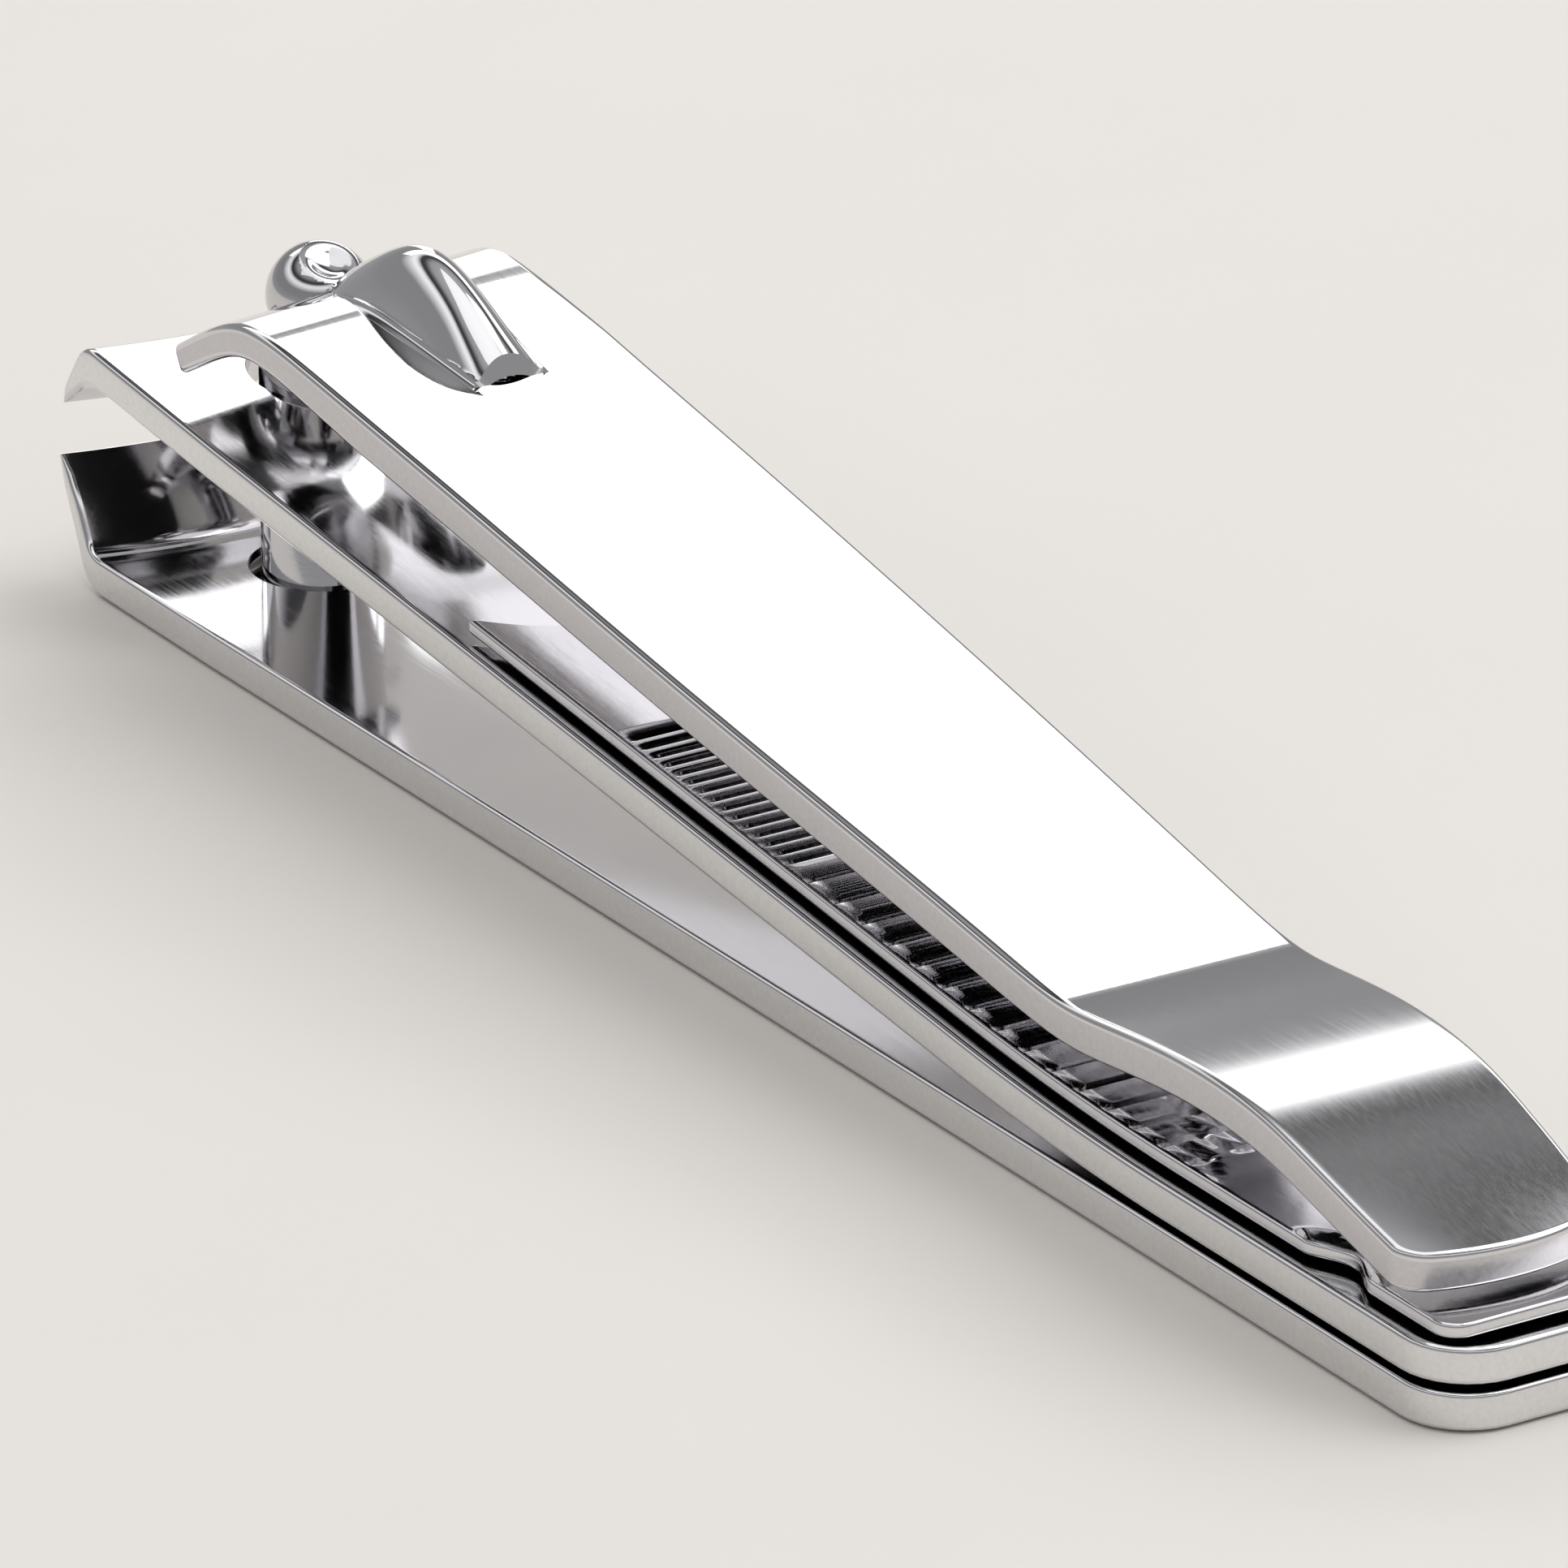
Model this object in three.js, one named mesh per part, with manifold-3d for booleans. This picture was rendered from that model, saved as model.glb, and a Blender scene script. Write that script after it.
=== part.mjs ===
// Lever nail clipper in its storage position: two spring leaves joined at the rear, a pin through
// the jaws, a lever that hooks under the pin's knob, and a nail file that swings on a rivet.
// Millimetres. The clipper is laid out with X from the cutting edges (0) to the rear end, Y across,
// Z up from the flat underside of the lower leaf. The last lines move the origin to the middle.
import * as THREE from 'three';
import { mergeVertices } from 'three/addons/utils/BufferGeometryUtils.js';
import Module from 'manifold-3d';

const wasm = await Module();
wasm.setup();

// ---- driving dimensions ------------------------------------------------------------------
const LENGTH = 80.8;              // rear end of both leaves
const EDGE_X = 0.2;               // foremost points of the lower cutting edge
const JAW_HALF_WIDTH = 6.26;      // both leaves, in front
const REAR_HALF_WIDTH = 5.47;     // both leaves, at the rear end
const TAPER_START = 10;           // the leaves narrow behind this
const REAR_CORNER = 2.4;          // corner radius in plan
const LEAF = 1.25;                // sheet thickness of both leaves
const LEAF_GAP = 0.25;            // play between the leaves where they lie together
const EDGE_BOW = 0.9;             // how far the middle of each cutting edge lies back
const BOW_REACH = 5;              // the bow fades out over this length
const LOWER_EDGE = 4.29;          // height of the lower cutting edge
const UPPER_EDGE = 6.25;          // height of the upper cutting edge
const SPRING_TOP = 8.7;           // top of the upper leaf at the jaw
const SPRING_SLOPE = 0.1025;      // fall of the upper leaf for each millimetre of length
const JAW_SHOULDER = 2.0;         // X of the upper jaw's shoulder
const SPRING_BEND = 60.05;        // X where the slope meets the flat rear stretch
const BEND_HALF = 6;              // half the length of that soft bend

const PIN_X = 6.67;               // pin axis
const SHANK = 2.05;               // pin shank radius
const PIN_HOLE = 2.5;             // clearance hole for the shank in both leaves
const WAIST = 1.2;                // radius of the groove that the lever's foot sits in
const WAIST_Z = 9.65;             // middle of the groove, and the axis that the lever tips about
const WAIST_HALF = 0.8;           // half the groove's height
const KNOB = 1.8;                 // ball radius
const KNOB_Z = 10.8;              // ball centre
const DISH_TILT = 25;             // degrees that the knob's dished flat leans to the rear
const DISH = 1.0;                 // radius of that flat
const PIN_FOOT = 2.95;            // radius of the countersunk foot

const LEVER_YAW = -1.3;           // degrees that the lever rests off the centre line
const LEVER_FOOT_X = 6.35;        // front end of the foot
const LEVER_END = 79.2;           // rear end of the tail
const LEVER_SHEET = 1.4;          // lever thickness
const LEVER_HALF = 5.55;          // half width of the lever at the foot
const FOOT_SHEET = 1.0;           // thickness of the thinned foot
const CREST_X = 12;               // highest point of the lever
const FOOT_SKEW = 1.7;            // the bends of the foot run this much out of square
const FOOT_TRIM = 5.75;           // the skewed side of the foot is cut off in front of this
const FOOT_CORNER = 7.7;          // and slants back to here at its side edge
const FULL_SHEET_X = 18.2;        // the foot's thinning ends here
const SLOT = 2.25;                // half width of the slot that the knob passes through
const NIB = 1.5;                  // half width between the two nibs that sit in the groove
const NIB_FRONT = 6.1;            // the nibs are short, so that they can turn in the groove
const NIB_REAR = 7.0;
const SLOT_CENTRE = 7.2;          // centre of the slot's round end
const ARCH_HALF = [               // outer half width of the fulcrum arch, front to rear
  [8.9, 1.8], [13.5, 1.8], [16, 1.62], [18.3, 1.32],
];
const ARCH_ASIDE = 0.5;           // the arch lies this far off the lever's middle
const ARCH_WALL = 0.8;            // sheet left in the arch
const UNDER_ARCH = 16.4;          // the slot runs on under the arch to here
const ARCH_RISE = [               // its height above the lever, from its front end to its rear
  [8.9, 1.35], [10.4, 1.6], [12, 2.0], [13.3, 2.15], [14.6, 2.08], [16.2, 1.7], [17.4, 1.22],
  [18.3, 0.85],
];

const PIVOT_X = 75.5;             // rivet that the file swings on
const TIE_X = 67;                 // rivet that keeps the leaves in line
const FILE = 0.5;                 // file thickness
const FILE_LIFT = 0.2;            // play between the file and the upper leaf
const FILE_INSET = 0.45;          // file edges lie this far inside the leaf's edges
const FILE_TIP = 25.0;            // points of the crescent at the cleaner end
const CRESCENT = 7.5;             // radius of the crescent
const CRESCENT_DEPTH = 2.5;
const FILE_REAR = 80.2;
const FINE_CUTS = { first: 34.4, pitch: 0.65, count: 15, depth: 0.1 };
const COARSE_CUTS = { first: 44.8, pitch: 1.52, count: 15, depth: 0.16 };
const RIVET_SHANK = 1.2;
const RIVET_HOLE = 1.5;
const RIVET_SINK = 2.75;          // countersink radius for the flush rivet heads
const SINK_DEPTH = 0.95;          // the countersinks go this deep into a leaf
const SINK_LEAD = 0.3;            // and start this far outside it

const ROUND = 32;                 // facets of round parts
const DEG = Math.PI / 180;

// ---- helpers -----------------------------------------------------------------------------
function solid(geometry) {
  const bare = geometry.clone();
  bare.deleteAttribute('normal');
  bare.deleteAttribute('uv');
  const merged = mergeVertices(bare, 1e-5);
  return new wasm.Manifold(new wasm.Mesh({
    numProp: 3,
    vertProperties: Float32Array.from(merged.attributes.position.array),
    triVerts: Uint32Array.from(merged.index.array),
  }));
}

function meshOf(name, body, look) {
  const { vertProperties, triVerts } = body.getMesh();
  const geometry = new THREE.BufferGeometry();
  geometry.setAttribute('position', new THREE.BufferAttribute(vertProperties, 3));
  geometry.setIndex(new THREE.BufferAttribute(triVerts, 1));
  geometry.computeVertexNormals();
  const mesh = new THREE.Mesh(geometry, new THREE.MeshStandardMaterial(look));
  mesh.name = name;
  return mesh;
}

// A side-view outline (x, z) drawn out across Y, from -half to +half.
function acrossY(shape, half, steps = 1) {
  const geometry = new THREE.ExtrudeGeometry(shape, {
    depth: 2 * half, steps, bevelEnabled: false, curveSegments: 6,
  });
  geometry.rotateX(Math.PI / 2);
  geometry.translate(0, half, 0);
  return geometry;
}

// A plan outline (x, y) drawn up in Z, from z0 to z1.
function upZ(shape, z0, z1, curveSegments = 8) {
  const geometry = new THREE.ExtrudeGeometry(shape, {
    depth: z1 - z0, bevelEnabled: false, curveSegments,
  });
  geometry.translate(0, 0, z0);
  return solid(geometry);
}

// A round post or cone on a vertical axis at (x, 0).
function post(x, bottomRadius, topRadius, z0, z1) {
  const geometry = new THREE.CylinderGeometry(topRadius, bottomRadius, z1 - z0, ROUND);
  geometry.rotateX(Math.PI / 2);
  geometry.translate(x, 0, (z0 + z1) / 2);
  return solid(geometry);
}

// A body of revolution about a vertical axis at (x, 0); points are [radius, z], bottom to top.
function turned(x, points) {
  const outline = points.map(([r, z]) => new THREE.Vector2(r, z));
  const geometry = new THREE.LatheGeometry(outline, ROUND);
  geometry.rotateX(Math.PI / 2);
  geometry.translate(x, 0, 0);
  return solid(geometry);
}

function moveVertices(geometry, move) {
  const position = geometry.attributes.position;
  const point = new THREE.Vector3();
  for (let i = 0; i < position.count; i += 1) {
    point.fromBufferAttribute(position, i);
    move(point);
    position.setXYZ(i, point.x, point.y, point.z);
  }
  return geometry;
}

// ---- leaves ------------------------------------------------------------------------------
const UPPER_FLAT = 2 * LEAF + LEAF_GAP;        // top of the upper leaf's flat rear stretch

function leafHalfWidth(x) {
  const along = THREE.MathUtils.clamp((x - TAPER_START) / (LENGTH - TAPER_START), 0, 1);
  return THREE.MathUtils.lerp(JAW_HALF_WIDTH, REAR_HALF_WIDTH, along);
}

function upperTop(x) {
  return SPRING_TOP - SPRING_SLOPE * (x - JAW_SHOULDER);
}

// Plan outline of a strip that follows the leaves: an edge inset, a rear end and a corner radius.
function stripPlan(front, rear, inset, corner) {
  const side = leafHalfWidth(rear) - inset;
  const shape = new THREE.Shape();
  shape.moveTo(front, -leafHalfWidth(front) + inset);
  shape.lineTo(Math.max(front, TAPER_START), -leafHalfWidth(Math.max(front, TAPER_START)) + inset);
  shape.absarc(rear - corner, -side + corner, corner, -Math.PI / 2, 0, false);
  shape.absarc(rear - corner, side - corner, corner, 0, Math.PI / 2, false);
  shape.lineTo(Math.max(front, TAPER_START), leafHalfWidth(Math.max(front, TAPER_START)) - inset);
  shape.lineTo(front, leafHalfWidth(front) - inset);
  shape.closePath();
  return shape;
}

// The cutting edges are ground hollow in plan, so the middle of each jaw lies back.
function bowJaw(geometry) {
  return moveVertices(geometry, (p) => {
    const fade = THREE.MathUtils.clamp((BOW_REACH - p.x) / (BOW_REACH - JAW_SHOULDER), 0, 1);
    const across = 1 - (p.y / JAW_HALF_WIDTH) ** 2;
    p.x += EDGE_BOW * across * fade;
  });
}

const LEAF_PLAN = upZ(stripPlan(-1, LENGTH, 0, REAR_CORNER), -1, SPRING_TOP + 1);

function lowerLeaf() {
  const side = new THREE.Shape();
  side.moveTo(LENGTH + 1, 0);
  side.lineTo(BOW_REACH, 0);
  side.lineTo(2.9, 0);
  side.quadraticCurveTo(1.7, 0.05, 1.4, 1.1);
  side.lineTo(0.3, 3.4);
  side.lineTo(EDGE_X, LOWER_EDGE);
  side.lineTo(EDGE_X + 0.07, LOWER_EDGE);
  side.lineTo(1.25, 2.85);
  side.lineTo(1.8, 1.75);
  side.quadraticCurveTo(2.05, LEAF, 2.7, LEAF);
  side.lineTo(BOW_REACH, LEAF);
  side.lineTo(LENGTH + 1, LEAF);
  side.closePath();
  return solid(bowJaw(acrossY(side, JAW_HALF_WIDTH, 12)))
    .intersect(LEAF_PLAN)
    .subtract(post(PIN_X, PIN_HOLE, PIN_HOLE, -1, LEAF + 1))
    .subtract(post(PIN_X, PIN_FOOT + 0.75, PIN_HOLE, -SINK_LEAD, SINK_DEPTH))
    .subtract(post(TIE_X, RIVET_HOLE, RIVET_HOLE, -1, LEAF + 1))
    .subtract(post(TIE_X, RIVET_SINK, RIVET_HOLE, -SINK_LEAD, SINK_DEPTH))
    .subtract(post(PIVOT_X, RIVET_HOLE, RIVET_HOLE, -1, LEAF + 1))
    .subtract(post(PIVOT_X, RIVET_SINK, RIVET_HOLE, -SINK_LEAD, SINK_DEPTH));
}

function upperLeaf() {
  const bendStart = SPRING_BEND - BEND_HALF;
  const bendEnd = SPRING_BEND + BEND_HALF;
  const side = new THREE.Shape();
  side.moveTo(LENGTH + 1, UPPER_FLAT - LEAF);
  side.lineTo(LENGTH + 1, UPPER_FLAT);
  side.lineTo(bendEnd, UPPER_FLAT);
  side.quadraticCurveTo(SPRING_BEND, UPPER_FLAT, bendStart, upperTop(bendStart));
  side.lineTo(BOW_REACH, upperTop(BOW_REACH));
  side.lineTo(2.4, upperTop(2.4));
  side.quadraticCurveTo(1.85, 8.74, 1.5, 8.3);
  side.lineTo(0.5, 6.85);
  side.lineTo(0.5, UPPER_EDGE);
  side.lineTo(0.6, UPPER_EDGE);
  side.lineTo(1.6, 7.1);
  side.quadraticCurveTo(2.1, 7.45, 3.1, upperTop(3.1) - LEAF);
  side.lineTo(BOW_REACH, upperTop(BOW_REACH) - LEAF);
  side.lineTo(bendStart, upperTop(bendStart) - LEAF);
  side.quadraticCurveTo(SPRING_BEND, UPPER_FLAT - LEAF, bendEnd, UPPER_FLAT - LEAF);
  side.closePath();
  return solid(bowJaw(acrossY(side, JAW_HALF_WIDTH, 12)))
    .intersect(LEAF_PLAN)
    .subtract(post(PIN_X, PIN_HOLE, PIN_HOLE, 5, SPRING_TOP + 1))
    .subtract(post(TIE_X, RIVET_HOLE, RIVET_HOLE, 1, UPPER_FLAT + 1))
    .subtract(post(TIE_X, RIVET_HOLE, RIVET_SINK, UPPER_FLAT - SINK_DEPTH, UPPER_FLAT + SINK_LEAD))
    .subtract(post(PIVOT_X, RIVET_HOLE, RIVET_HOLE, 1, UPPER_FLAT + 1));
}

// ---- pin and rivets ----------------------------------------------------------------------
function pin() {
  const shoulder = WAIST_Z + WAIST_HALF;
  const start = Math.asin((shoulder - KNOB_Z) / KNOB);
  const ball = [];
  for (let i = 0; i <= 10; i += 1) {
    const angle = THREE.MathUtils.lerp(start, Math.PI / 2, i / 10);
    const radius = i === 10 ? 0 : KNOB * Math.cos(angle);
    ball.push([radius, KNOB_Z + KNOB * Math.sin(angle)]);
  }
  const body = turned(PIN_X, [
    [0, 0.1],
    [PIN_FOOT, 0.1],
    [PIN_FOOT, 0.2],
    [SHANK, 0.95],
    [SHANK, WAIST_Z - WAIST_HALF - 0.15],
    [SHANK - 0.15, WAIST_Z - WAIST_HALF],
    [WAIST, WAIST_Z - WAIST_HALF],
    [WAIST, shoulder],
    ...ball,
  ]);
  return body.subtract(knobDish());
}

// The tool that faces the knob flat and dishes it, leaning to the rear.
function knobDish() {
  const flatDistance = Math.sqrt(KNOB ** 2 - DISH ** 2);
  const dishDepth = 0.22;
  const dishRim = 0.78;
  const dishBall = (dishRim ** 2 + dishDepth ** 2) / (2 * dishDepth);
  const facing = new THREE.CylinderGeometry(DISH + 0.5, DISH + 0.5, 1, ROUND);
  facing.rotateX(Math.PI / 2);
  facing.translate(0, 0, flatDistance + 0.5);
  const scoop = new THREE.SphereGeometry(dishBall, ROUND, 24);
  scoop.translate(0, 0, flatDistance - dishDepth + dishBall);
  for (const tool of [facing, scoop]) {
    tool.rotateY(DISH_TILT * DEG);
    tool.translate(PIN_X, 0, KNOB_Z);
  }
  return solid(facing).add(solid(scoop));
}

function tieRivet() {
  const top = UPPER_FLAT - 0.05;
  return turned(TIE_X, [
    [0, 0.08], [2.0, 0.08], [2.0, 0.15], [RIVET_SHANK, 0.85],
    [RIVET_SHANK, top - 0.77], [2.0, top - 0.07], [2.0, top], [0, top],
  ]);
}

function fileRivet() {
  const fileTop = UPPER_FLAT + FILE_LIFT + FILE;
  const seat = fileTop + 0.12;
  return turned(PIVOT_X, [
    [0, 0.2], [1.9, 0.2], [1.9, 0.27], [RIVET_SHANK, 0.85],
    [RIVET_SHANK, seat], [2.1, seat], [2.1, seat + 0.12], [1.7, seat + 0.28],
    [1.0, seat + 0.38], [0, seat + 0.42],
  ]);
}

// ---- lever -------------------------------------------------------------------------------
// Top line of the lever, seen from the side: foot, crest, straight arm, waist, thumb rest, tail.
const LEVER_TOP = new THREE.CatmullRomCurve3([
  [LEVER_FOOT_X, 9.95], [8.0, 10.95], [9.5, 11.78], [10.9, 12.25], [12.6, 12.3], [15.2, 12.02],
  [24, 10.98], [36, 9.5], [48, 8.02], [55, 7.12], [58.2, 6.72], [60.2, 6.6], [62.6, 6.8],
  [65.8, 7.14], [68.6, 7.2], [71.4, 6.92], [74.2, 6.24], [76.8, 5.6], [LEVER_END + 0.6, 4.98],
].map(([x, z]) => new THREE.Vector3(x, 0, z)), false, 'centripetal');
const LEVER_TOP_ROWS = LEVER_TOP.getPoints(240).map((p) => [p.x, p.z]);

function leverSheet(x) {
  const along = THREE.MathUtils.clamp((x - LEVER_FOOT_X) / (FULL_SHEET_X - LEVER_FOOT_X), 0, 1);
  return THREE.MathUtils.lerp(FOOT_SHEET, LEVER_SHEET, along);
}

function leverSide() {
  const samples = 72;
  const top = [];
  const under = [];
  for (let i = 0; i <= samples; i += 1) {
    const p = LEVER_TOP.getPoint(i / samples);
    const t = LEVER_TOP.getTangent(i / samples);
    const sheet = leverSheet(p.x);
    top.push(new THREE.Vector2(p.x, p.z));
    under.push(new THREE.Vector2(p.x + t.z * sheet, p.z - t.x * sheet));
  }
  return new THREE.Shape([...top, ...under.reverse()]);
}

function leverPlan() {
  const edge = [[12, 5.35], [40, 4.9], [58, 4.38], [70, 4.08]];
  const tailRadius = 7.6;
  const tailCentre = LEVER_END - tailRadius;
  const tailAngle = Math.asin(3.1 / tailRadius);
  const shape = new THREE.Shape();
  shape.moveTo(LEVER_FOOT_X - FOOT_SKEW - 1, -LEVER_HALF);
  edge.forEach(([x, y]) => shape.lineTo(x, -y));
  shape.lineTo(76.6, -3.78);
  shape.quadraticCurveTo(78.1, -3.72, tailCentre + tailRadius * Math.cos(tailAngle), -3.1);
  shape.absarc(tailCentre, 0, tailRadius, -tailAngle, tailAngle, false);
  shape.quadraticCurveTo(78.1, 3.72, 76.6, 3.78);
  edge.reverse().forEach(([x, y]) => shape.lineTo(x, y));
  shape.lineTo(LEVER_FOOT_X - FOOT_SKEW - 1, LEVER_HALF);
  shape.closePath();
  return shape;
}

// Slot open to the front: narrow between the nibs, wide and round-ended behind them. The same
// punch trims the skewed side of the foot, which would dig into the upper leaf as the lever tips.
function leverSlot() {
  const front = LEVER_FOOT_X - FOOT_SKEW - 1;
  const widening = NIB_REAR + 0.1;
  const shape = new THREE.Shape();
  shape.moveTo(front, -SLOT);
  shape.lineTo(NIB_FRONT, -SLOT);
  shape.lineTo(NIB_FRONT, -NIB);
  shape.lineTo(NIB_REAR, -NIB);
  shape.lineTo(widening, -SLOT);
  shape.absarc(SLOT_CENTRE, 0, SLOT, -Math.PI / 2, Math.PI / 2, false);
  shape.lineTo(widening, SLOT);
  shape.lineTo(NIB_REAR, NIB);
  shape.lineTo(NIB_FRONT, NIB);
  shape.lineTo(NIB_FRONT, SLOT);
  shape.lineTo(FOOT_TRIM, SLOT);
  shape.lineTo(FOOT_CORNER, LEVER_HALF);
  shape.lineTo(FOOT_CORNER, LEVER_HALF + 1);
  shape.lineTo(front, LEVER_HALF + 1);
  shape.closePath();
  return shape;
}

// Reads a table of [x, value] rows, with straight lines between them.
function lookUp(rows, x) {
  const next = THREE.MathUtils.clamp(rows.findIndex(([at]) => at >= x), 1, rows.length - 1);
  const [[x0, value0], [x1, value1]] = [rows[next - 1], rows[next]];
  return THREE.MathUtils.mapLinear(THREE.MathUtils.clamp(x, x0, x1), x0, x1, value0, value1);
}

// A tunnel along X with steep sides and a round ridge, `wall` inside the arch's outside and
// `cover` below its ridge. Its floor lies `sunk` below the lever's top.
function tunnel(wall, x0, x1, cover, sunk) {
  const section = new THREE.Shape();
  section.moveTo(-1, -sunk);
  section.lineTo(1, -sunk);
  const steps = 20;
  for (let i = 0; i <= steps; i += 1) {
    const across = 1 - (2 * i) / steps;
    const height = 1 - Math.abs(across) ** 1.7;
    if (height > -sunk) {
      section.lineTo(across, height);
    }
  }
  section.closePath();
  const geometry = new THREE.ExtrudeGeometry(section, {
    depth: x1 - x0, steps: 10, bevelEnabled: false, curveSegments: 14,
  });
  geometry.rotateX(Math.PI / 2);
  geometry.rotateZ(Math.PI / 2);
  geometry.translate(x0, 0, 0);
  moveVertices(geometry, (p) => {
    const rise = p.z > 0 ? p.z * (lookUp(ARCH_RISE, p.x) - cover) : p.z;
    p.z = lookUp(LEVER_TOP_ROWS, p.x) + rise;
    p.y = p.y * (lookUp(ARCH_HALF, p.x) - wall) + ARCH_ASIDE;
  });
  return solid(geometry);
}

function lever() {
  const sheet = moveVertices(acrossY(leverSide(), LEVER_HALF + 0.5), (p) => {
    const ahead = 1 - THREE.MathUtils.smoothstep(p.x, CREST_X, CREST_X + 5);
    p.x -= p.y > 0 ? FOOT_SKEW * ahead : 0;
  });
  const plate = solid(sheet).intersect(upZ(leverPlan(), 0, 16));
  const [archFront, archRear] = [ARCH_RISE[0][0], ARCH_RISE.at(-1)[0]];
  const arch = tunnel(0, archFront, archRear, 0, 0.6);
  const hollow = tunnel(ARCH_WALL, SLOT_CENTRE, UNDER_ARCH, 0.45, 3);
  const mouth = tunnel(ARCH_WALL, UNDER_ARCH - 0.2, archRear + 0.4, 0.45, -0.03);
  return plate
    .add(arch)
    .subtract(upZ(leverSlot(), 8, 12.4))
    .subtract(post(PIN_X, SLOT, SLOT, WAIST_Z + 0.5, 12.4))
    .subtract(hollow)
    .subtract(mouth);
}

// ---- nail file ---------------------------------------------------------------------------
function fileSide() {
  const bendStart = SPRING_BEND - BEND_HALF;
  const bendEnd = SPRING_BEND + BEND_HALF;
  const lifted = (x, rise) => upperTop(x) + FILE_LIFT + rise;
  const flat = UPPER_FLAT + FILE_LIFT;
  const side = new THREE.Shape();
  side.moveTo(FILE_REAR + 1, flat);
  side.lineTo(FILE_REAR + 1, flat + FILE);
  side.lineTo(bendEnd, flat + FILE);
  side.quadraticCurveTo(SPRING_BEND, flat + FILE, bendStart, lifted(bendStart, FILE));
  side.lineTo(FILE_TIP - 2, lifted(FILE_TIP - 2, FILE));
  side.lineTo(FILE_TIP - 2, lifted(FILE_TIP - 2, 0));
  side.lineTo(bendStart, lifted(bendStart, 0));
  side.quadraticCurveTo(SPRING_BEND, flat, bendEnd, flat);
  side.closePath();
  return side;
}

// Grooves across the file's top face: a row of V cuts at a steady pitch.
function cutRow({ first, pitch, count, depth }) {
  let row = null;
  for (let i = 0; i < count; i += 1) {
    const x = first + i * pitch;
    const top = x < SPRING_BEND - BEND_HALF ? upperTop(x) : Math.max(upperTop(x), UPPER_FLAT + 0.08);
    const z = top + FILE_LIFT + FILE;
    const notch = new THREE.Shape();
    notch.moveTo(x, z - depth);
    notch.lineTo(x + 0.4 * pitch, z + 0.2);
    notch.lineTo(x - 0.4 * pitch, z + 0.2);
    notch.closePath();
    const cut = solid(acrossY(notch, JAW_HALF_WIDTH + 1));
    row = row ? row.add(cut) : cut;
  }
  return row;
}

function nailFile() {
  const flat = UPPER_FLAT + FILE_LIFT;
  const crescent = post(FILE_TIP + CRESCENT_DEPTH - CRESCENT, CRESCENT, CRESCENT, 4, 12);
  const nick = post(PIVOT_X - 1.3, 1.0, 2.3, flat - 0.3, flat + FILE + 0.3);
  const edge = leafHalfWidth(PIVOT_X) - FILE_INSET;
  return solid(acrossY(fileSide(), JAW_HALF_WIDTH))
    .intersect(upZ(stripPlan(FILE_TIP - 1, FILE_REAR, FILE_INSET, 1.0), 0, 12))
    .subtract(crescent)
    .subtract(nick.translate([0, -edge - 0.2, 0]))
    .subtract(post(PIVOT_X, RIVET_SHANK + 0.25, RIVET_SHANK + 0.25, flat - 1, flat + 2))
    .subtract(cutRow(FINE_CUTS))
    .subtract(cutRow(COARSE_CUTS));
}

// ---- assembly ----------------------------------------------------------------------------
const POLISHED = { color: 0xd9d9dc, roughness: 0.12, metalness: 1.0 };
const TURNED = { color: 0xcfcfd3, roughness: 0.16, metalness: 1.0 };
const FILED = { color: 0xc4c4c8, roughness: 0.3, metalness: 1.0 };

const clipper = new THREE.Group();
clipper.add(meshOf('lower_leaf', lowerLeaf(), POLISHED));
clipper.add(meshOf('upper_leaf', upperLeaf(), POLISHED));
clipper.add(meshOf('tie_rivet', tieRivet(), TURNED));
clipper.add(meshOf('file_rivet', fileRivet(), TURNED));
clipper.add(meshOf('nail_file', nailFile(), FILED));
clipper.add(meshOf('pin', pin(), TURNED));

// The lever rests a little off the centre line, turned about the pin.
const leverTurn = new THREE.Group();
leverTurn.position.x = PIN_X;
leverTurn.rotation.z = LEVER_YAW * DEG;
const leverMesh = meshOf('lever', lever(), POLISHED);
leverMesh.position.x = -PIN_X;
leverTurn.add(leverMesh);
clipper.add(leverTurn);

clipper.position.x = -(EDGE_X + LENGTH) / 2;
const model = new THREE.Group();
model.add(clipper);

export default model;
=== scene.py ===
# %% [markdown]
# # A lever nail clipper in polished stainless steel
# A nail clipper is a handful of sheet steel stampings. Two spring leaves are riveted together at
# the rear, a turned pin goes through their jaws, a lever hooks under the pin's knob, and a nail
# file lies between the lever and the upper leaf. This lesson builds each of them as a mesh with
# real thickness and rounded edges, because polished metal is read almost only from its edges and
# from what its faces mirror.

# %% Load the frame
import math

import bmesh
import bpy
import numpy as np
from mathutils import Matrix, Vector


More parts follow.
